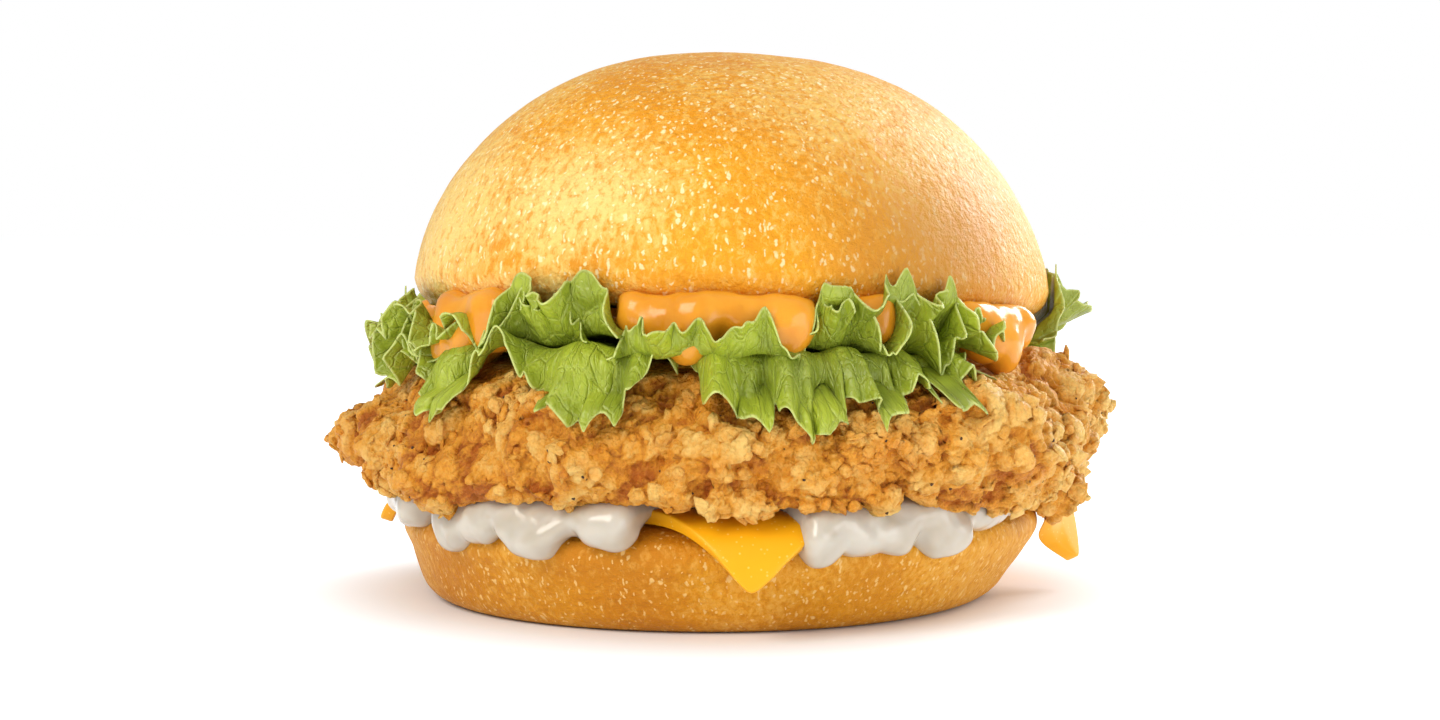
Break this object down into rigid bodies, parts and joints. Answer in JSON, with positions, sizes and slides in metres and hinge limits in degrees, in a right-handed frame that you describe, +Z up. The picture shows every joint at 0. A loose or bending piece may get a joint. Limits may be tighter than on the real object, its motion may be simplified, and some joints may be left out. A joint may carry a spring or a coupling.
{
  "type": "chicken burger",
  "caption": "Fried chicken burger in a soft round bun with melted cheese, white sauce, frilly lettuce and orange sauce, standing on its flat base.",
  "frame": {"origin": "middle of the flat underside of the heel bun, where the burger stands", "axes": "+Z up through the stack, -Y towards the front of the picture, +X to the picture's right"},
  "size_m": [0.128, 0.1194, 0.0878],
  "materials": {
    "bun_crust": "baked golden crust with a soft satin sheen and fine pale flecks",
    "cheese": "smooth, slightly waxy processed cheese",
    "white_sauce": "wet glossy creamy sauce",
    "fried_batter": "crisp craggy deep-fried crust with black pepper",
    "lettuce": "fresh satin leaf with pale veins and margin",
    "orange_sauce": "wet glossy creamy orange sauce"
  },
  "bodies": {
    "root": {"heel_bun": "bun_crust", "cheese_slice": "cheese", "white_sauce": "white_sauce", "chicken_fillet": "fried_batter", "lettuce_lower_left": "lettuce", "lettuce_lower_front": "lettuce", "lettuce_upper_left": "lettuce", "lettuce_upper_right": "lettuce", "lettuce_back": "lettuce", "orange_sauce": "orange_sauce", "crown_bun": "bun_crust"}
  },
  "joints": []
}
